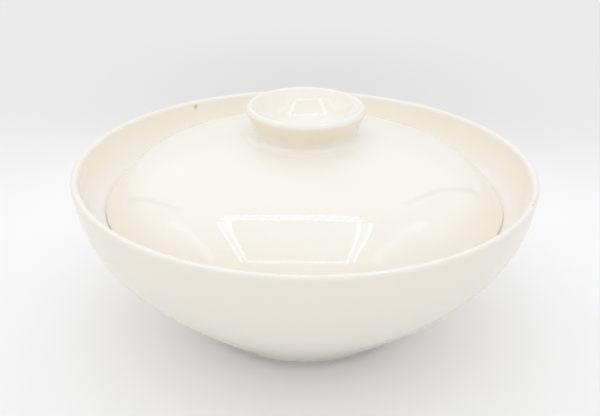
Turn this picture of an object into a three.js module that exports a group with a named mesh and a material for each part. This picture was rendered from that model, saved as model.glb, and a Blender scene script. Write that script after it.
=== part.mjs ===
// Covered serving bowl in glazed ceramic: a round bowl on a low foot ring, a domed lid that sits
// inside the bowl on a ledge below its rim, and a dished knob joined to the crown of the lid.
//
// Millimetres, +Z up. The origin is the centre of the face that the bowl stands on.
// Every piece is a body of revolution: its outline is drawn in the (radius, height) half plane,
// once round the wall, and then turned about Z.

import * as THREE from 'three';

// ---- driving dimensions ------------------------------------------------------------------------

const RIM_RADIUS = 120;        // outermost radius of the bowl, just below its lip
const RIM_HEIGHT = 90.7;       // top of the lip
const LIP = 1.9;               // radius of the rounded lip, so the wall is twice this there

const FOOT_RADIUS = 51.5;      // outside of the foot ring
const FOOT_WIDTH = 4.8;        // width of the ring, with its rounded edges
const FOOT_EDGE = 0.6;         // rounding of the ring's two edges
const FOOT_GROOVE = [52.2, 1.7];  // slight hollow between the foot ring and the outer wall
const WALL_START = [54.9, 2.4];  // where the outer wall leaves the foot ring
const FLOOR_UNDER = 3.4;       // underside of the floor, inside the foot ring
const FLOOR_FILLET = 0.8;      // rounding where that underside meets the ring
const FLOOR_TOP = 8.6;         // inside of the floor
const FLOOR_FLAT = 34;         // the inside is flat out to this radius
const WALL_FOOT = [61.5, 14.4];  // inner wall, where it starts to round into the floor

const SEAT_HEIGHT = 70;        // the ledge that the lid rests on
const SEAT_OUTER = 105;        // where the ledge turns up into the inner wall
const LEDGE_TIP = 97;          // innermost radius of the ledge
const LEDGE_EDGE = 1.4;        // rounding of the ledge's inner edge
const LEDGE_UNDER = [97, 67.2];  // where the underside of the ledge begins
const LEDGE_ROOT = [101.8, 53.1];  // where it has run out into the inner wall

const LID_RADIUS = 103.8;      // rim of the lid, a little less than the ledge
const LID_RIM_HEIGHT = 71.5;   // widest part of the lid's rim
const LID_BASE_OUTER = 102.1;  // outer edge of the ring that the lid rests on
const LID_BASE_INNER = 98.6;   // inner edge of that ring
const LID_INSIDE_FOOT = [98.1, 70.7];  // lowest point of the lid's inner face
const UNDER_CROWN_RADIUS = 26; // the underside of the crown is flat out to this
const CROWN_RADIUS = 28;       // flat on top of the lid that takes the knob
const CROWN_HEIGHT = 106;
const LID_WALL = 4.1;          // thickness of the lid at its crown

const KNOB_RADIUS = 30.4;      // outermost radius of the knob
const KNOB_HEIGHT = 122.1;     // top of the knob's lip
const KNOB_LIP = 1.7;          // half the width of its rounded lip
const KNOB_LIP_ROLL = 2.6;     // the lip rolls down outside by this much
const KNOB_FLARE = 24;         // degrees round the lip, below level, where the wall starts
const NECK_RADIUS = 26.8;      // foot of the flared wall, above its fillet
const NECK_HEIGHT = 109.2;
const SKIRT_RADIUS = 27.8;     // the fillet runs out on the crown of the lid here
const SKIRT_THICKNESS = 0.25;  // and is this thick at its edge
const DISH_BOTTOM = 107.4;     // lowest point of the deep dish in its top

const BOWL_SIDES = 60;         // facets round each piece
const LID_SIDES = 60;
const KNOB_SIDES = 48;

// ---- outline helpers: each stretch is a list of points (radius, height) -------------------------

const SAME_POINT = 1e-6;

const corners = (...pairs) => pairs.map(([r, z]) => new THREE.Vector2(r, z));

function bend(steps, ...pairs) {
  const points = corners(...pairs);
  const Curve = points.length === 4 ? THREE.CubicBezierCurve : THREE.QuadraticBezierCurve;
  return new Curve(...points).getPoints(steps);
}

function arc(steps, r, z, radius, startDegrees, endDegrees, rise = radius) {
  const start = THREE.MathUtils.degToRad(startDegrees);
  const end = THREE.MathUtils.degToRad(endDegrees);
  return new THREE.EllipseCurve(r, z, radius, rise, start, end, end < start).getPoints(steps);
}

// Joins the stretches, leaves out a point that repeats the one before it, and closes the ring
// where the outline doesn't start and end on the axis.
function outline(...stretches) {
  const ring = [];
  for (const point of stretches.flat()) {
    if (!ring.length || ring.at(-1).distanceTo(point) > SAME_POINT) ring.push(point);
  }
  const onAxis = ring[0].x === 0 && ring.at(-1).x === 0;
  if (!onAxis) ring.push(ring[0].clone());
  return ring;
}

function turned(name, ring, sides, glaze) {
  const geometry = new THREE.LatheGeometry(ring, sides).rotateX(Math.PI / 2);
  const mesh = new THREE.Mesh(geometry, new THREE.MeshStandardMaterial(glaze));
  mesh.name = name;
  return mesh;
}

// ---- pieces ------------------------------------------------------------------------------------

const IVORY = { color: 0xf2ecdd, roughness: 0.12, metalness: 0 };
const IVORY_KNOB = { color: 0xefe8d6, roughness: 0.12, metalness: 0 };

// From the middle of the underside, out over the foot ring, up the outer wall, over the lip, and
// down inside past the ledge to the middle of the floor.
function bowl() {
  const lipCentre = [RIM_RADIUS - LIP, RIM_HEIGHT - LIP];
  const footInner = FOOT_RADIUS - FOOT_WIDTH;
  const floorEdge = footInner - FLOOR_FILLET;
  const ledgeTop = LEDGE_TIP + LEDGE_EDGE;
  const ledgeSide = SEAT_HEIGHT - LEDGE_EDGE;
  return turned('bowl', outline(
    corners([0, FLOOR_UNDER], [floorEdge, FLOOR_UNDER]),
    bend(2, [floorEdge, FLOOR_UNDER], [footInner, FLOOR_UNDER], [footInner, FLOOR_UNDER - FLOOR_FILLET]),
    bend(2, [footInner, FOOT_EDGE], [footInner, 0], [footInner + FOOT_EDGE, 0]),
    bend(2, [FOOT_RADIUS - FOOT_EDGE, 0], [FOOT_RADIUS, 0], [FOOT_RADIUS, FOOT_EDGE]),
    bend(2, [FOOT_RADIUS, FOOT_EDGE], FOOT_GROOVE, WALL_START),
    bend(9, WALL_START, [96.4, 38.6], [117.3, 52.8], [RIM_RADIUS, lipCentre[1]]),
    arc(4, ...lipCentre, LIP, 0, 180),
    bend(7, [lipCentre[0] - LIP, lipCentre[1]], [115.2, 79.5], [112.8, 70.3], [SEAT_OUTER, SEAT_HEIGHT]),
    bend(2, [ledgeTop, SEAT_HEIGHT], [LEDGE_TIP, SEAT_HEIGHT], [LEDGE_TIP, ledgeSide]),
    bend(4, LEDGE_UNDER, [97.2, 62], [105.2, 58], LEDGE_ROOT),
    bend(5, LEDGE_ROOT, [90.9, 38.8], [75.4, 26.4], WALL_FOOT),
    bend(3, WALL_FOOT, [55, FLOOR_TOP], [48, FLOOR_TOP], [FLOOR_FLAT, FLOOR_TOP]),
    corners([0, FLOOR_TOP]),
  ), BOWL_SIDES, IVORY);
}

// From the middle of the crown's underside, down the inner face to the ring that rests on the
// ledge, round the rim, and up the dome to the flat that takes the knob.
function lid() {
  const underCrown = CROWN_HEIGHT - LID_WALL;
  return turned('lid', outline(
    corners([0, underCrown]),
    bend(9, [UNDER_CROWN_RADIUS, underCrown], [84, 88.8], [85, 87], LID_INSIDE_FOOT),
    corners([LID_BASE_INNER, SEAT_HEIGHT], [LID_BASE_OUTER, SEAT_HEIGHT]),
    bend(2, [LID_BASE_OUTER, SEAT_HEIGHT], [LID_RADIUS - 0.3, SEAT_HEIGHT], [LID_RADIUS, LID_RIM_HEIGHT]),
    bend(11, [LID_RADIUS, LID_RIM_HEIGHT], [87.9, 90.9], [87.9, 92.6], [CROWN_RADIUS, CROWN_HEIGHT]),
    corners([0, CROWN_HEIGHT]),
  ), LID_SIDES, IVORY);
}

// From the middle of its base, out along the crown of the lid, up the flared neck, over the lip
// and down the dish to the axis.
function lidKnob() {
  const lipMiddle = KNOB_RADIUS - KNOB_LIP;
  const outerLip = arc(4, lipMiddle, KNOB_HEIGHT - KNOB_LIP_ROLL, KNOB_LIP, -KNOB_FLARE, 90, KNOB_LIP_ROLL);
  const innerLip = arc(2, lipMiddle, KNOB_HEIGHT - KNOB_LIP, KNOB_LIP, 90, 180 - KNOB_FLARE);
  return turned('lid_knob', outline(
    corners([0, CROWN_HEIGHT], [SKIRT_RADIUS, CROWN_HEIGHT]),
    bend(3, [SKIRT_RADIUS, CROWN_HEIGHT + SKIRT_THICKNESS], [26.1, 106.6], [NECK_RADIUS, NECK_HEIGHT]),
    bend(3, [NECK_RADIUS, NECK_HEIGHT], [28.3, 113.6], outerLip[0].toArray()),
    outerLip,
    innerLip,
    bend(8, innerLip.at(-1).toArray(), [21, DISH_BOTTOM], [15, DISH_BOTTOM], [0, DISH_BOTTOM]),
  ), KNOB_SIDES, IVORY_KNOB);
}

const group = new THREE.Group();
group.add(bowl(), lid(), lidKnob());

export default group;
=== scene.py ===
"""Looks of the covered serving bowl: the glazed bowl, its domed lid and the dished knob.

The three pieces are turned from the outlines that part.mjs uses, with finer steps, round the CAD
nodes' own boxes. Lengths in the outlines are millimetres; everything in the scene is in metres.
"""

import math

import bpy
import numpy as np
from mathutils import Matrix, Vector

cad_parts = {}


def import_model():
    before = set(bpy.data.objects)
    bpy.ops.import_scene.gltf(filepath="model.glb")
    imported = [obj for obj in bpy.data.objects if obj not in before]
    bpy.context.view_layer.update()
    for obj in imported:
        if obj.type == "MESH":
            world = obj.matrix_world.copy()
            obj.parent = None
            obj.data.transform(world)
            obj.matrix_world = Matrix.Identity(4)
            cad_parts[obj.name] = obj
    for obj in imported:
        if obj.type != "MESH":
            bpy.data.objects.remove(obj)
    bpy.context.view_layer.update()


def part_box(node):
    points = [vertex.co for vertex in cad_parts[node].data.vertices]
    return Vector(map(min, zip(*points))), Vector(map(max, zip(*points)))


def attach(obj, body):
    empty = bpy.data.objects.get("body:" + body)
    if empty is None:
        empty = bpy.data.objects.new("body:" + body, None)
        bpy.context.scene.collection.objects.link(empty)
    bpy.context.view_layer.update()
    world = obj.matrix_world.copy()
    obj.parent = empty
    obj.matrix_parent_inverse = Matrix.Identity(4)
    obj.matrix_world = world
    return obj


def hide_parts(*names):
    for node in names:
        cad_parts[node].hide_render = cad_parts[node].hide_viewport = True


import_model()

MM = 0.001


def box_mm(node):
    """(widest radius, lowest height, highest height) of a CAD node, in millimetres."""
    low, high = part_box(node)
    return high.x / MM, low.z / MM, high.z / MM


# ---- dimensions, in millimetres, as in part.mjs -------------------------------------------------

RIM_RADIUS, _, RIM_HEIGHT = box_mm("bowl")
LID_RADIUS, SEAT_HEIGHT, CROWN_HEIGHT = box_mm("lid")
KNOB_RADIUS, _, KNOB_HEIGHT = box_mm("lid_knob")

LIP = 1.9
FOOT_RADIUS = 51.5
FOOT_WIDTH = 4.8
FOOT_EDGE = 0.6
FOOT_GROOVE = (52.2, 1.7)
WALL_START = (54.9, 2.4)
FLOOR_UNDER = 3.4
FLOOR_FILLET = 0.8
FLOOR_TOP = 8.6
FLOOR_FLAT = 34.0
WALL_FOOT = (61.5, 14.4)
SEAT_OUTER = 105.0
LEDGE_TIP = 97.0
LEDGE_EDGE = 1.4
LEDGE_UNDER = (97.0, 67.2)
LEDGE_ROOT = (101.8, 53.1)
LID_RIM_HEIGHT = 71.5
LID_BASE_OUTER = 102.1
LID_BASE_INNER = 98.6
LID_INSIDE_FOOT = (98.1, 70.7)
UNDER_CROWN_RADIUS = 26.0
CROWN_RADIUS = 28.0
LID_WALL = 4.1
KNOB_LIP = 1.7
KNOB_LIP_ROLL = 2.6
KNOB_FLARE = 24
NECK_RADIUS = 26.8
NECK_HEIGHT = 109.2
SKIRT_RADIUS = 31.0  # the fillet runs out further over the lid than the 27.8 of part.mjs
SKIRT_SINK = 0.03  # and ends this far below the dome
DISH_BOTTOM = 107.4
DISH_LEAN = 0.055  # rise of the dish's floor per unit of X
DISH_REACH = 26.5  # no lean from this radius outwards

STEP = 1.8  # spacing of the rings along a curve
FEWEST = 8  # rings on the shortest curve
RING_INSET = 0.25  # a straight stretch has a ring this close to each end
SAME_POINT = 1e-6  # points closer than this are one point
BOWL_SIDES = 288
LID_SIDES = 288
KNOB_SIDES = 240
CREASE = math.radians(35)  # an edge sharper than this isn't smoothed over


# ---- outlines -----------------------------------------------------------------------------------


def bend(*points):
    """A Bezier curve through its control points, three or four of them."""
    controls = np.array(points, float)
    length = np.linalg.norm(np.diff(controls, axis=0), axis=1).sum()
    t = np.linspace(0, 1, max(FEWEST, round(length / STEP)) + 1)[:, None]
    curves = controls[:, None]
    while len(curves) > 1:
        curves = curves[:-1] * (1 - t) + curves[1:] * t
    return curves[0]


def arc(centre, radii, start, end, steps):
    """Part of an ellipse, from one angle to another in degrees."""
    turn = np.radians(np.linspace(start, end, steps + 1))
    return np.array(centre) + np.array(radii) * np.stack([np.cos(turn), np.sin(turn)], 1)


def line(a, b):
    """A straight stretch with a ring close to each end, which keeps the shading flat between."""
    a, b = np.array(a, float), np.array(b, float)
    length = np.linalg.norm(b - a)
    near = min(RING_INSET, length / 4) / length
    inner = np.linspace(near, 1 - near, max(1, round(length / (2 * STEP))) + 1)
    t = np.concatenate([[0], inner, [1]])[:, None]
    return a * (1 - t) + b * t


def joined(*stretches):
    """One outline from stretches that meet, without the points that repeat."""
    ring = np.concatenate(stretches)
    keep = np.ones(len(ring), bool)
    keep[1:] = np.linalg.norm(np.diff(ring, axis=0), axis=1) > SAME_POINT
    return ring[keep]


def bowl_outline():
    lip = (RIM_RADIUS - LIP, RIM_HEIGHT - LIP)
    foot_inner = FOOT_RADIUS - FOOT_WIDTH
    floor_edge = foot_inner - FLOOR_FILLET
    fillet_foot = (foot_inner, FLOOR_UNDER - FLOOR_FILLET)
    ledge_top = LEDGE_TIP + LEDGE_EDGE
    ledge_side = SEAT_HEIGHT - LEDGE_EDGE
    return joined(
        line((0, FLOOR_UNDER), (floor_edge, FLOOR_UNDER)),
        bend((floor_edge, FLOOR_UNDER), (foot_inner, FLOOR_UNDER), fillet_foot),
        line(fillet_foot, (foot_inner, FOOT_EDGE)),
        bend((foot_inner, FOOT_EDGE), (foot_inner, 0), (foot_inner + FOOT_EDGE, 0)),
        line((foot_inner + FOOT_EDGE, 0), (FOOT_RADIUS - FOOT_EDGE, 0)),
        bend((FOOT_RADIUS - FOOT_EDGE, 0), (FOOT_RADIUS, 0), (FOOT_RADIUS, FOOT_EDGE)),
        bend((FOOT_RADIUS, FOOT_EDGE), FOOT_GROOVE, WALL_START),
        bend(WALL_START, (96.4, 38.6), (117.3, 52.8), (RIM_RADIUS, lip[1])),
        arc(lip, (LIP, LIP), 0, 180, 16),
        bend((lip[0] - LIP, lip[1]), (115.2, 79.5), (112.8, 70.3), (SEAT_OUTER, SEAT_HEIGHT)),
        line((SEAT_OUTER, SEAT_HEIGHT), (ledge_top, SEAT_HEIGHT)),
        bend((ledge_top, SEAT_HEIGHT), (LEDGE_TIP, SEAT_HEIGHT), (LEDGE_TIP, ledge_side)),
        line((LEDGE_TIP, ledge_side), LEDGE_UNDER),
        bend(LEDGE_UNDER, (97.2, 62), (105.2, 58), LEDGE_ROOT),
        bend(LEDGE_ROOT, (90.9, 38.8), (75.4, 26.4), WALL_FOOT),
        bend(WALL_FOOT, (55, FLOOR_TOP), (48, FLOOR_TOP), (FLOOR_FLAT, FLOOR_TOP)),
        line((FLOOR_FLAT, FLOOR_TOP), (0, FLOOR_TOP)),
    )


def dome():
    """The top of the lid, from its rim up to its crown."""
    rim, crown = (LID_RADIUS, LID_RIM_HEIGHT), (CROWN_RADIUS, CROWN_HEIGHT)
    return bend(rim, (87.9, 90.9), (87.9, 92.6), crown)


def lid_outline():
    under = CROWN_HEIGHT - LID_WALL
    base_outer, base_inner = (LID_BASE_OUTER, SEAT_HEIGHT), (LID_BASE_INNER, SEAT_HEIGHT)
    return joined(
        line((0, under), (UNDER_CROWN_RADIUS, under)),
        bend((UNDER_CROWN_RADIUS, under), (84, 88.8), (85, 87), LID_INSIDE_FOOT),
        line(LID_INSIDE_FOOT, base_inner),
        line(base_inner, base_outer),
        bend(base_outer, (LID_RADIUS - 0.3, SEAT_HEIGHT), (LID_RADIUS, LID_RIM_HEIGHT)),
        dome(),
        line((CROWN_RADIUS, CROWN_HEIGHT), (0, CROWN_HEIGHT)),
    )


def knob_outline():
    """The fillet runs out along the dome here, so that the glaze flows on over the lid."""
    middle, roll = KNOB_RADIUS - KNOB_LIP, (KNOB_LIP, KNOB_LIP_ROLL)
    outer_lip = arc((middle, KNOB_HEIGHT - KNOB_LIP_ROLL), roll, -KNOB_FLARE, 90, 14)
    inner_lip = arc((middle, KNOB_HEIGHT - KNOB_LIP), (KNOB_LIP, KNOB_LIP), 90, 180 - KNOB_FLARE, 8)
    r, z = dome()[::-1].T
    skirt = (SKIRT_RADIUS, np.interp(SKIRT_RADIUS, r, z) - SKIRT_SINK)
    neck = (NECK_RADIUS, NECK_HEIGHT)
    return joined(
        line((0, CROWN_HEIGHT), (CROWN_RADIUS, CROWN_HEIGHT)),
        line((CROWN_RADIUS, CROWN_HEIGHT), skirt),
        bend(skirt, (27.8, CROWN_HEIGHT + 0.1), (26.25, 107.6), neck),
        bend(neck, (28.3, 113.6), outer_lip[0]),
        outer_lip,
        inner_lip,
        bend(inner_lip[-1], (21, DISH_BOTTOM), (15, DISH_BOTTOM), (0, DISH_BOTTOM)),
    )


# ---- meshes -------------------------------------------------------------------------------------


def smoothstep(x, low, high):
    t = np.clip((x - low) / (high - low), 0, 1)
    return t * t * (3 - 2 * t)


def turned(name, outline, sides, warp):
    """A closed mesh of the outline turned about Z. warp shifts points, as hand work does."""
    turn = np.arange(sides) * 2 * math.pi / sides
    points, rings = [], []
    for r, z in outline:
        start = len(points)
        around = [0.0] if r < SAME_POINT else turn
        rings.append((start, len(around)))
        for a in around:
            dr, dz = warp(a, r, z)
            points.append(((r + dr) * math.cos(a), (r + dr) * math.sin(a), z + dz))
    faces = []
    for (lower, n), (upper, m) in zip(rings, rings[1:]):
        for j in range(sides):
            k = (j + 1) % sides
            if n == 1:
                faces.append((lower, upper + k, upper + j))
            elif m == 1:
                faces.append((lower + j, lower + k, upper))
            else:
                faces.append((lower + j, lower + k, upper + k, upper + j))
    mesh = bpy.data.meshes.new(name)
    mesh.from_pydata([Vector(p) * MM for p in points], [], faces)
    mesh.shade_smooth()
    mesh.set_sharp_from_angle(angle=CREASE)
    piece = bpy.data.objects.new(name, mesh)
    bpy.context.scene.collection.objects.link(piece)
    return piece


# How far hand work shifts the surfaces, in millimetres.
RIM_OUT_OF_ROUND = 0.10
RIM_OUT_OF_LEVEL = 0.35
DOME_UNEVEN = 0.05
FLARE_UNEVEN = 0.08
FLARE_OUT_OF_LEVEL = 0.05


def bowl_warp(a, r, z):
    """The rim is a little out of round and out of level; always inwards, and none at the ledge."""
    above_ledge = smoothstep(z, 74, RIM_HEIGHT)
    shaded_wall = smoothstep(z, 6, 60) * (1 - smoothstep(z, 60, 72)) + above_ledge
    lobes = 0.5 + 0.3 * math.cos(2 * a + 0.7) + 0.2 * math.cos(3 * a - 1.9)
    tip = 0.5 + 0.5 * math.cos(a + 2.2)
    return -RIM_OUT_OF_ROUND * shaded_wall * lobes, -RIM_OUT_OF_LEVEL * above_ledge * tip


def lid_warp(a, r, z):
    """The dome is a little uneven between its rim and its crown."""
    between = smoothstep(z, 74, 88) * (1 - smoothstep(z, 96, 100))
    lobes = 0.5 + 0.25 * math.cos(2 * a - 0.4) + 0.25 * math.cos(5 * a + 1.1)
    return -DOME_UNEVEN * between * lobes, 0.0


def knob_warp(a, r, z):
    """The flare is a little uneven, and the dish leans, so that it is lower towards -X."""
    flare = smoothstep(z, 110, KNOB_HEIGHT)
    lobes = 0.5 + 0.35 * math.cos(2 * a + 2.2) + 0.15 * math.cos(4 * a)
    tip = 0.5 + 0.5 * math.cos(a + 0.6)
    inside = max(0.0, 1 - (r / DISH_REACH) ** 2) if z > CROWN_HEIGHT + 0.5 else 0.0
    lean = DISH_LEAN * r * math.cos(a) * inside
    return -FLARE_UNEVEN * flare * lobes, lean - FLARE_OUT_OF_LEVEL * flare * tip


# ---- materials ----------------------------------------------------------------------------------

IVORY_PALE = (0.896, 0.868, 0.808)
IVORY_DEEP = (0.884, 0.853, 0.785)
SHADED_WALL_GLAZE = (0.846, 0.810, 0.727)  # painted shade on the outside of the bowl where it faces down, and on the outer side of the lip
LIT_LOW_WALL_GLAZE = (0.935, 0.905, 0.820)  # painted light low down on the bowl, which lifts the shade near the floor
LIT_INSIDE_GLAZE = (0.932, 0.891, 0.784)  # painted light on the faces of the bowl that look up
LIT_COVE_GLAZE = (0.952, 0.922, 0.850)  # painted light where its inner wall runs out on the ledge, lifting the shade in that cove
# painted shade towards the lid's edge
SHADED_LID_EDGE_GLAZE = (0.885, 0.848, 0.758)
# painted light on the faces of the knob that look up
LIT_DISH_GLAZE = (0.920, 0.885, 0.805)
THIN_GLAZE = (0.860, 0.847, 0.812)  # on rounded edges, where it runs thin
POOLED_GLAZE_AND_SHADE = (0.840, 0.765, 0.590)  # glaze gathered in corners, and painted shade round the knob's neck and foot
CLAY_DARK, CLAY_PALE = (0.66, 0.60, 0.50), (0.80, 0.75, 0.66)
CLAY_ROUGHNESS = 0.8
SMOOTHEST, ROUGHEST = 0.018, 0.04  # the glaze's roughness lies between these
INNER_WALL_ROUGHNESS = 0.16
GLAZE_IOR = 1.5
KNOB_IOR = 1.62  # the glaze lies thicker on the knob and mirrors more

# Heights of the relief in the glaze, in metres.
SWELL = 1.2e-5
PEEL = 1.0e-6
PINHOLE = -3e-5
CLAY_GRAIN = 3e-5
CHIP_DEPTH = -1e-4


class Wiring:
    """A material's node tree, with short words for the nodes used here."""

    def __init__(self, name):
        self.material = bpy.data.materials.new(name)
        self.material.use_nodes = True
        self.tree = self.material.node_tree
        self.tree.nodes.clear()
        self.place = self.node("ShaderNodeTexCoord").outputs["Object"]
        split = self.node("ShaderNodeSeparateXYZ", {"Vector": self.place})
        self.x, self.y, self.z = split.outputs
        flat = self.node("ShaderNodeCombineXYZ", {"X": self.x, "Y": self.y})
        length = self.node("ShaderNodeVectorMath", {0: flat.outputs[0]}, operation="LENGTH")
        self.radius = length.outputs["Value"]

    def node(self, kind, inputs=None, **settings):
        made = self.tree.nodes.new(kind)
        for key, value in settings.items():
            setattr(made, key, value)
        for key, value in (inputs or {}).items():
            if isinstance(value, bpy.types.NodeSocket):
                self.tree.links.new(value, made.inputs[key])
            else:
                made.inputs[key].default_value = value
        return made

    def math(self, operation, a, b):
        return self.node("ShaderNodeMath", {0: a, 1: b}, operation=operation).outputs[0]

    def product(self, first, *others):
        """The masks multiplied together: 1 only where all of them are."""
        for other in others:
            first = self.math("MULTIPLY", first, other)
        return first

    def noise(self, scale, detail=2, roughness=0.5):
        inputs = {"Vector": self.place, "Scale": scale, "Detail": detail, "Roughness": roughness}
        return self.node("ShaderNodeTexNoise", inputs).outputs[0]

    def ramp(self, value, low, high, to_low=0.0, to_high=1.0):
        """value taken smoothly from low..high to to_low..to_high, and held outside."""
        inputs = {0: value, 1: low, 2: high, 3: to_low, 4: to_high}
        made = self.node("ShaderNodeMapRange", inputs, interpolation_type="SMOOTHSTEP")
        return made.outputs[0]

    def fall(self, value, low, high):
        """1 up to low, falling smoothly to 0 at high."""
        return self.ramp(value, low, high, 1.0, 0.0)

    def band(self, value, low, high, soft):
        """1 between low and high, falling to 0 over soft on each side."""
        return self.product(self.ramp(value, low - soft, low), self.fall(value, high, high + soft))

    def near(self, point, reach, core=0.0):
        """1 within core of a point, falling to 0 at reach."""
        inputs = {0: self.place, 1: point}
        away = self.node("ShaderNodeVectorMath", inputs, operation="DISTANCE").outputs["Value"]
        return self.fall(away, core, reach)

    def facing_up(self):
        """Height of the surface's normal: 1 on a level top, 0 on an upright wall, -1 below."""
        normal = self.node("ShaderNodeNewGeometry").outputs["Normal"]
        return self.node("ShaderNodeSeparateXYZ", {"Vector": normal}).outputs["Z"]

    def mix(self, factor, a, b):
        """Two colours mixed. The node has one set of sockets for each kind of value it can mix."""
        made = self.node("ShaderNodeMix", data_type="RGBA")
        for index, value in ((0, factor), (6, a), (7, b)):
            if isinstance(value, bpy.types.NodeSocket):
                self.tree.links.new(value, made.inputs[index])
            else:
                made.inputs[index].default_value = value if index == 0 else (*value[:3], 1.0)
        return made.outputs[2]

    def output(self, shader):
        self.node("ShaderNodeOutputMaterial", {"Surface": shader.outputs[0]})
        return self.material


class Glaze(Wiring):
    """Glazed ware: colour, roughness and height are sockets that each layer changes."""

    def __init__(self, name):
        super().__init__(name)
        self.colour = self.mix(self.ramp(self.noise(24, 3), 0.3, 0.7), IVORY_DEEP, IVORY_PALE)
        self.roughness = self.ramp(self.noise(55), 0.25, 0.8, SMOOTHEST, ROUGHEST)
        swell = self.math("MULTIPLY", self.noise(40, 1, 0.4), SWELL)
        peel = self.math("MULTIPLY", self.noise(420), PEEL)
        self.height = self.math("ADD", swell, peel)
        self.specks(80, 0.00035, (0.62, 0.50, 0.34), 0.35, 0.0, 0.31)
        self.specks(95, 0.00030, (0.70, 0.62, 0.48), 0.30, PINHOLE, 0.77)

    def tint(self, mask, colour, amount=1.0):
        if amount < 1.0:
            mask = self.math("MULTIPLY", mask, amount)
        self.colour = self.mix(mask, self.colour, colour)

    def roughen(self, mask, value):
        made = self.node("ShaderNodeMix", {0: mask, 2: self.roughness, 3: value})
        self.roughness = made.outputs[0]

    def lift(self, mask, metres):
        self.height = self.math("ADD", self.height, self.math("MULTIPLY", mask, metres))

    def specks(self, scale, size, colour, amount, depth, offset):
        """Small scattered spots where a grain or a pinhole shows in the glaze."""
        shift = {0: self.place, 1: (offset, offset, -offset)}
        moved = self.node("ShaderNodeVectorMath", shift, operation="ADD").outputs["Vector"]
        cells = self.node("ShaderNodeTexVoronoi", {"Vector": moved, "Scale": scale})
        spot = self.fall(cells.outputs["Distance"], size * scale * 0.5, size * scale)
        self.tint(spot, colour, amount)
        self.lift(spot, depth)

    def biscuit(self, mask):
        """Bare fired clay, wiped clean of glaze: paler, matt and slightly grainy."""
        grain = self.noise(1500, 2, 0.6)
        self.colour = self.mix(mask, self.colour, self.mix(grain, CLAY_DARK, CLAY_PALE))
        self.roughen(mask, CLAY_ROUGHNESS)
        self.lift(self.math("MULTIPLY", mask, grain), CLAY_GRAIN)

    def close(self, ior=GLAZE_IOR):
        relief = {"Strength": 1.0, "Distance": 1.0, "Height": self.height}
        inputs = {
            "Base Color": self.colour,
            "Roughness": self.roughness,
            "Normal": self.node("ShaderNodeBump", relief).outputs[0],
            "IOR": ior,
        }
        return self.output(self.node("ShaderNodeBsdfPrincipled", inputs))


# The marks on the bowl: an iron grain in the inner wall, and two chips on the lip with their reach.
IRON_GRAIN = (-0.0686, 0.0936, 0.0873)
GRAIN_HALO = (0.93, 0.80, 0.48)
GRAIN_CORE = (0.66, 0.42, 0.16)
LIP_CHIPS = (((0.1099, -0.0444, 0.0907), 0.0013), ((0.1086, -0.0480, 0.0905), 0.0010))
CHIP_CLAY = (0.62, 0.50, 0.36)


def bowl_glaze():
    made = Glaze("ivory_glaze_bowl")
    rim, seat, lip = RIM_HEIGHT * MM, SEAT_HEIGHT * MM, (RIM_RADIUS - LIP) * MM
    up = made.facing_up()
    # Painted light: the faces of the bowl that look up are paler and warmer.
    made.tint(made.ramp(up, 0.05, 0.2), LIT_INSIDE_GLAZE)
    # Painted light low down on the bowl, lifting the shade near the floor.
    made.tint(made.fall(made.z, 0.004, 0.028), LIT_LOW_WALL_GLAZE)
    made.tint(made.ramp(made.z, rim - 0.0022, rim - 0.0002), THIN_GLAZE, 0.7)
    # Painted shade: the outer side of the lip, and the outside wall where it faces down, are
    # darker.
    lip_side = made.product(made.fall(up, 0.60, 0.97), made.ramp(made.radius, lip, lip + 0.0005))
    shaded_wall = made.product(made.fall(up, -0.15, 0.0), made.ramp(made.z, 0.012, 0.030))
    made.tint(made.math("MAXIMUM", lip_side, shaded_wall), SHADED_WALL_GLAZE)

    inside = made.product(made.ramp(up, 0.02, 0.08), made.ramp(made.z, seat, seat + 0.0004))
    # Painted light in the cove where the inner wall runs out on the ledge, lifting the shade there.
    cove = made.product(inside, made.fall(made.z, seat + 0.004, seat + 0.013))
    made.tint(cove, LIT_COVE_GLAZE)
    below_lip = made.product(inside, made.fall(made.z, rim - 0.003, rim - 0.002))
    made.roughen(below_lip, INNER_WALL_ROUGHNESS)

    # Darker and warmer at the very bottom of the foot.
    made.tint(made.fall(made.z, 0.0007, 0.0022), POOLED_GLAZE_AND_SHADE, 0.5)
    made.biscuit(made.fall(made.z, 0.00025, 0.00045))
    ledge = made.band(made.radius, 0.0978, 0.1042, 0.0003)
    level = made.band(made.z, seat - 0.0004, seat + 0.0004, 0.0002)
    made.biscuit(made.product(ledge, level))

    made.tint(made.near(IRON_GRAIN, 0.0028, 0.0004), GRAIN_HALO, 0.7)
    made.tint(made.near(IRON_GRAIN, 0.0015, 0.0006), GRAIN_CORE, 0.75)
    for chip, reach in LIP_CHIPS:
        nick = made.near(chip, reach, reach * 0.4)
        made.tint(nick, CHIP_CLAY, 0.7)
        made.roughen(nick, 0.5)
        made.lift(nick, CHIP_DEPTH)
    return made.close()


def shade_round_knob(made):
    """Painted shade and painted reflection where the knob joins the lid, on both pieces alike:
    darker where that corner is shaded and mirrors the neck.
    """
    crown = CROWN_HEIGHT * MM
    outside = made.ramp(made.radius, 0.0235, 0.0245)
    close_by = made.fall(made.radius, 0.0275, 0.0370)
    low = made.fall(made.z, crown + 0.001, crown + 0.003)
    made.tint(made.product(outside, close_by, low), POOLED_GLAZE_AND_SHADE, 0.16)


def lid_glaze():
    made = Glaze("ivory_glaze_lid")
    seat = SEAT_HEIGHT * MM
    # Painted shade towards the lid's edge, where it dips down beside the bowl's wall.
    made.tint(made.ramp(made.radius, 0.086, 0.101), SHADED_LID_EDGE_GLAZE, 0.8)
    edge = made.ramp(made.radius, 0.1022, 0.1034)
    level = made.band(made.z, 0.0705, 0.0725, 0.001)
    made.tint(made.product(edge, level), THIN_GLAZE, 0.7)
    shade_round_knob(made)
    made.biscuit(made.fall(made.z, seat + 0.0002, seat + 0.0004))
    return made.close()


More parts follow.
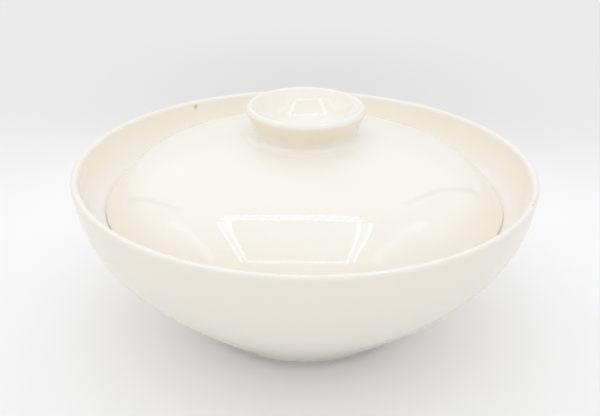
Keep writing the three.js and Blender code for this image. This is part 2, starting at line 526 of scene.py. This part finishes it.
def knob_glaze():
    """The neck is warm and dark, from thick glaze and from painted shade under the flare; a casting
    seam shows faintly in front.
    """
    made = Glaze("ivory_glaze_knob")
    top, up = KNOB_HEIGHT * MM, made.facing_up()
    # Painted light: the faces of the knob that look up are paler.
    made.tint(made.ramp(up, 0.1, 0.3), LIT_DISH_GLAZE)
    made.tint(made.ramp(made.z, top - 0.0018, top - 0.0002), THIN_GLAZE, 0.6)
    shade_round_knob(made)
    foot, shoulder = NECK_HEIGHT * MM, top - KNOB_LIP_ROLL * MM
    # Pooled glaze and painted shade on the neck, under the flare.
    neck = made.product(
        made.fall(up, 0.0, 0.35),
        made.ramp(made.z, foot - 0.001, foot + 0.004),
        made.fall(made.z, shoulder - 0.0005, shoulder + 0.0009),
    )
    made.tint(neck, POOLED_GLAZE_AND_SHADE, 0.70)
    in_front = made.fall(made.y, -0.001, 0.001)
    seam = made.product(neck, made.band(made.x, 0.0028, 0.0032, 0.0008), in_front)
    made.tint(seam, POOLED_GLAZE_AND_SHADE, 0.35)
    return made.close(KNOB_IOR)


# ---- the object ---------------------------------------------------------------------------------


def build_object():
    bowl = turned("bowl_glazed", bowl_outline(), BOWL_SIDES, bowl_warp)
    bowl.data.materials.append(bowl_glaze())
    lid = turned("lid_glazed", lid_outline(), LID_SIDES, lid_warp)
    lid.data.materials.append(lid_glaze())
    knob = turned("lid_knob_glazed", knob_outline(), KNOB_SIDES, knob_warp)
    knob.data.materials.append(knob_glaze())
    for piece, node, body, slot in (
        (bowl, "bowl", "bowl", "ivory_glaze"),
        (lid, "lid", "lid", "ivory_glaze"),
        (knob, "lid_knob", "lid", "ivory_glaze_knob"),
    ):
        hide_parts(node)
        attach(piece, body)


# ---- floor and world ----------------------------------------------------------------------------

FLOOR_REACH = 6.0
FLOOR_PALE = (0.872, 0.872, 0.874)
# painted shade on the floor towards the back
FLOOR_FAR_SHADE = (0.775, 0.775, 0.775)
# painted light on the floor round the bowl, which lifts its shadow
FLOOR_NEAR_LIGHT = (0.910, 0.915, 0.932)
FLOOR_GRAIN = (0.7, 0.7, 0.7)
BLACK = (0.0, 0.0, 0.0)
WHITE = (1.0, 1.0, 1.0)

SKY_HORIZON = 0.84
SKY_ZENITH = 1.19
SKY_LEAN = -0.10  # the light is a little stronger from -X


def stage_mesh(name, corners, material):
    """Quads that belong to the stage, each a list of four corners."""
    mesh = bpy.data.meshes.new(name)
    points = [Vector(c) for quad in corners for c in quad]
    faces = [tuple(range(4 * i, 4 * i + 4)) for i in range(len(corners))]
    mesh.from_pydata(points, [], faces)
    mesh.materials.append(material)
    made = bpy.data.objects.new(name, mesh)
    bpy.context.scene.collection.objects.link(made)
    return made


def floor():
    """A pale sheet with painted shade and light: deeper in tone towards the back, a painted shadow
    behind the bowl, and painted light round the bowl that lifts its shadow.
    """
    made = Wiring("pale_floor")
    # Painted shade: the floor deepens in tone towards the back.
    tone = made.mix(made.ramp(made.y, 0.10, 0.36), FLOOR_PALE, FLOOR_FAR_SHADE)
    tone = made.mix(made.ramp(made.noise(700), 0.0, 1.0, 0.0, 0.02), tone, FLOOR_GRAIN)
    # Painted shadow of the bowl on the floor behind it.
    painted_shadow = made.math("MULTIPLY", made.near((0.01, 0.40, 0.0), 0.30), 0.09)
    tone = made.mix(painted_shadow, tone, BLACK)
    # Painted light round the bowl, making its shadow on the floor shallower.
    tone = made.mix(made.near((0.0, 0.06, 0.0), 0.28, 0.14), tone, FLOOR_NEAR_LIGHT)
    matt = {"Base Color": tone, "Roughness": 0.9, "Specular IOR Level": 0.0}
    far = FLOOR_REACH
    corners = [(-far, -far, 0), (far, -far, 0), (far, far, 0), (-far, far, 0)]
    stage_mesh("floor", [corners], made.output(made.node("ShaderNodeBsdfPrincipled", matt)))


def world():
    """Soft light from all round, stronger from above."""
    made = bpy.data.worlds.new("soft_light")
    bpy.context.scene.world = made
    made.use_nodes = True
    nodes, links = made.node_tree.nodes, made.node_tree.links
    way = nodes.new("ShaderNodeTexCoord")
    split = nodes.new("ShaderNodeSeparateXYZ")
    links.new(way.outputs["Generated"], split.inputs[0])
    lean = nodes.new("ShaderNodeMath")
    lean.operation = "MULTIPLY_ADD"
    lean.inputs[1].default_value = SKY_LEAN
    links.new(split.outputs["X"], lean.inputs[0])
    links.new(split.outputs["Z"], lean.inputs[2])
    grade = nodes.new("ShaderNodeMapRange")
    grade.inputs["To Min"].default_value = SKY_HORIZON
    grade.inputs["To Max"].default_value = SKY_ZENITH
    links.new(lean.outputs[0], grade.inputs["Value"])
    links.new(grade.outputs[0], nodes["Background"].inputs["Strength"])
    nodes["Background"].inputs["Color"].default_value = (*WHITE, 1.0)


# ---- what the glaze mirrors ---------------------------------------------------------------------

COOL_WHITE = (0.96, 1.0, 1.08)
WARM_WHITE = (1.0, 0.99, 0.95)
BAND_WHITE = (0.75, 0.9, 1.1)
STRIP_WHITE = (0.93, 1.0, 1.20)
LAMP_WHITE = (0.90, 1.0, 1.30)

# Height of the tent's ceiling, and how far below it each layer hangs, so that none hides another.
CEILING = 0.40
BAND_DROP = 0.002
SEAM_DROP = 0.003
STRIP_DROP = 0.004
LAMP_DROP = 0.006
GAP = 0.001  # the walls run from this far above the floor to this far above the ceiling

# The pale middle of the ceiling and the four walls of the tent.
MIDDLE_LEFT, MIDDLE_RIGHT, MIDDLE_FRONT, MIDDLE_BACK = -0.195, 0.148, -0.265, 0.075
TENT_LEFT, TENT_RIGHT, TENT_FRONT, TENT_BACK = -1.60, 1.10, -1.40, 1.30
MIDDLE_LEVEL = 0.95
SIDES = (("tent_front", 1.05), ("tent_right", 0.92), ("tent_back", 1.04), ("tent_left", 0.97))
FAR_LEVEL = 0.82  # brightness of every side far from the middle
NEAR_RADIUS, FAR_RADIUS = 0.35, 1.20

# Two dark sewn seams: the places (x, y) along each on the ceiling, and its width at each place.
SEAM_LEVEL = 0.42
LEFT_SEAM = ((-0.28, 0.145), (-0.37, 0.225), (-0.51, 0.350), (-0.93, 0.715), (-1.60, 1.30))
LEFT_SEAM_WIDTHS = (0.018, 0.032, 0.048, 0.075, 0.120)
RIGHT_SEAM = (
    (0.20, 0.19),
    (0.25, 0.265),
    (0.32, 0.37),
    (0.43, 0.47),
    (0.71, 0.765),
    (1.10, 1.17),
)
RIGHT_SEAM_WIDTHS = (0.012, 0.018, 0.026, 0.038, 0.058, 0.080)

# Soft bright bands along Y: name, middle x, half width, first y, last y.
SOFT_BANDS = (
    ("left_band", -0.338, 0.050, -0.23, 0.01),
    ("left_band_end", -0.400, 0.085, 0.01, 0.06),
    ("right_band", 0.243, 0.046, -0.24, 0.02),
    ("right_band_end", 0.285, 0.065, 0.02, 0.07),
)
BAND_LEVEL = 1.1
BAND_SOFT = 0.03  # their ends fade out over this

# Rows of small lamps, each from one place (x, y) of the ceiling to another, and the width of the
# glowing strip behind the bar that they make.
LAMP_ALONG, LAMP_ACROSS, LAMP_PITCH = 0.013, 0.008, 0.020
BARS = (
    ((((-0.148, 0.081), (0.102, 0.081)), ((-0.156, 0.065), (0.098, 0.065))), 0.030),
    ((((-0.176, 0.040), (-0.208, -0.250)), ((-0.149, 0.048), (-0.186, -0.250))), 0.036),
    ((((0.128, 0.048), (0.160, -0.250)), ((0.102, 0.052), (0.137, -0.250))), 0.038),
    ((((-0.181, -0.264), (0.143, -0.262)),), 0.034),
)
STRIP_LEVEL = 1.85
LAMP_LEVEL = 5.0


def reflected_only(made):
    """Seen in the glaze only: it lights nothing and never hides the object."""
    made.visible_camera = False
    made.visible_diffuse = False
    made.visible_shadow = False
    made.visible_transmission = False


def panel(name, quads, strength, colour=WHITE):
    made = Wiring(name)
    light = made.node("ShaderNodeEmission", {"Color": (*colour, 1.0), "Strength": strength})
    reflected_only(stage_mesh(name, quads, made.output(light)))


def ribbon(points, widths, drop):
    """Quads along a line on the ceiling, hung a little below it; the width changes along it."""
    path = [Vector(p) for p in points]
    last = len(path) - 1
    level = CEILING - drop
    sides = []
    for i, (point, width) in enumerate(zip(path, widths)):
        way = (path[min(i + 1, last)] - path[max(i - 1, 0)]).normalized()
        across = Vector((-way.y, way.x)) * width / 2
        sides.append([(*(point + across), level), (*(point - across), level)])
    return [[a[0], a[1], b[1], b[0]] for a, b in zip(sides, sides[1:])]


def soft_band(name, x, half, y_from, y_to):
    """A bright band along Y that fades out on all sides and adds to what is behind it."""
    made = Wiring(name)
    across = made.product(made.ramp(made.x, x - half, x), made.fall(made.x, x, x + half))
    along = made.band(made.y, y_from, y_to, BAND_SOFT)
    level = made.math("MULTIPLY", made.product(across, along), BAND_LEVEL)
    light = made.node("ShaderNodeEmission", {"Color": (*BAND_WHITE, 1.0), "Strength": level})
    clear = made.node("ShaderNodeBsdfTransparent")
    both = made.node("ShaderNodeAddShader", {0: clear.outputs[0], 1: light.outputs[0]})
    left, right, z = x - half, x + half, CEILING - BAND_DROP
    low, high = y_from - BAND_SOFT, y_to + BAND_SOFT
    quad = [(left, low, z), (right, low, z), (right, high, z), (left, high, z)]
    reflected_only(stage_mesh(name, [quad], made.output(both)))


def tent():
    """A wide white tent with a pale middle and two seams; further out it is darker and warmer."""
    middle = [
        (MIDDLE_LEFT, MIDDLE_FRONT, CEILING),
        (MIDDLE_RIGHT, MIDDLE_FRONT, CEILING),
        (MIDDLE_RIGHT, MIDDLE_BACK, CEILING),
        (MIDDLE_LEFT, MIDDLE_BACK, CEILING),
    ]
    outer = [
        (TENT_LEFT, TENT_FRONT),
        (TENT_RIGHT, TENT_FRONT),
        (TENT_RIGHT, TENT_BACK),
        (TENT_LEFT, TENT_BACK),
    ]
    high = [(x, y, CEILING + GAP) for x, y in outer]
    low = [(x, y, GAP) for x, y in outer]
    panel("tent_middle", [middle], MIDDLE_LEVEL, COOL_WHITE)
    for i, (name, level) in enumerate(SIDES):
        j = (i + 1) % len(SIDES)
        made = Wiring(name)
        far = made.ramp(made.radius, NEAR_RADIUS, FAR_RADIUS)
        light = {
            "Color": made.mix(far, COOL_WHITE, WARM_WHITE),
            "Strength": made.ramp(far, 0.0, 1.0, level, FAR_LEVEL),
        }
        material = made.output(made.node("ShaderNodeEmission", light))
        ceiling = [middle[i], middle[j], high[j], high[i]]
        shaded_wall = [high[i], high[j], low[j], low[i]]
        reflected_only(stage_mesh(name, [ceiling, shaded_wall], material))
    panel("left_seam", ribbon(LEFT_SEAM, LEFT_SEAM_WIDTHS, SEAM_DROP), SEAM_LEVEL)
    panel("right_seam", ribbon(RIGHT_SEAM, RIGHT_SEAM_WIDTHS, SEAM_DROP), SEAM_LEVEL)


def lamp_row(start, end):
    """Small flat lamps between two places of the ceiling."""
    a, b = Vector((*start, CEILING - LAMP_DROP)), Vector((*end, CEILING - LAMP_DROP))
    way = (b - a).normalized()
    u = way * LAMP_ALONG / 2
    v = Vector((-way.y, way.x, 0)) * LAMP_ACROSS / 2
    quads = []
    for i in range(round((b - a).length / LAMP_PITCH) + 1):
        c = a + way * (i * LAMP_PITCH)
        quads.append([c - u - v, c - u + v, c + u + v, c + u - v])
    return quads


def lamp_frame():
    """Four bars of small lamps on a glowing strip; the front bar has one row, the others two."""
    lamps, strips = [], []
    for rows, width in BARS:
        for start, end in rows:
            lamps += lamp_row(start, end)
        ends = [sum(map(Vector, places), Vector((0, 0))) / len(rows) for places in zip(*rows)]
        strips += ribbon(ends, (width, width), STRIP_DROP)
    panel("lamp_strips", strips, STRIP_LEVEL, STRIP_WHITE)
    panel("lamp_frame", lamps, LAMP_LEVEL, LAMP_WHITE)


# ---- camera -------------------------------------------------------------------------------------

SENSOR_WIDTH = 36.0
FOCAL_LENGTH = 52.47
CAMERA_PLACE = (0.00015, -0.42372, 0.26795)
TILT, PAN, ROLL = 0.4495, -0.00585, 0.0132  # radians: down, towards +X, and anticlockwise


def camera():
    data = bpy.data.cameras.new("camera")
    data.sensor_width = SENSOR_WIDTH
    data.lens = FOCAL_LENGTH
    data.dof.use_dof = False
    forward = Vector(
        (math.sin(PAN) * math.cos(TILT), math.cos(PAN) * math.cos(TILT), -math.sin(TILT))
    )
    level = forward.cross(Vector((0, 0, 1))).normalized()
    upright = level.cross(forward)
    right = level * math.cos(ROLL) + upright * math.sin(ROLL)
    up = upright * math.cos(ROLL) - level * math.sin(ROLL)
    made = bpy.data.objects.new("camera", data)
    turn = Matrix((right, up, -forward)).transposed().to_4x4()
    made.matrix_world = Matrix.Translation(CAMERA_PLACE) @ turn
    bpy.context.scene.collection.objects.link(made)
    bpy.context.scene.camera = made


build_object()
floor()
world()
tent()
for band in SOFT_BANDS:
    soft_band(*band)
lamp_frame()
camera()
bpy.context.scene.view_settings.view_transform = "Standard"
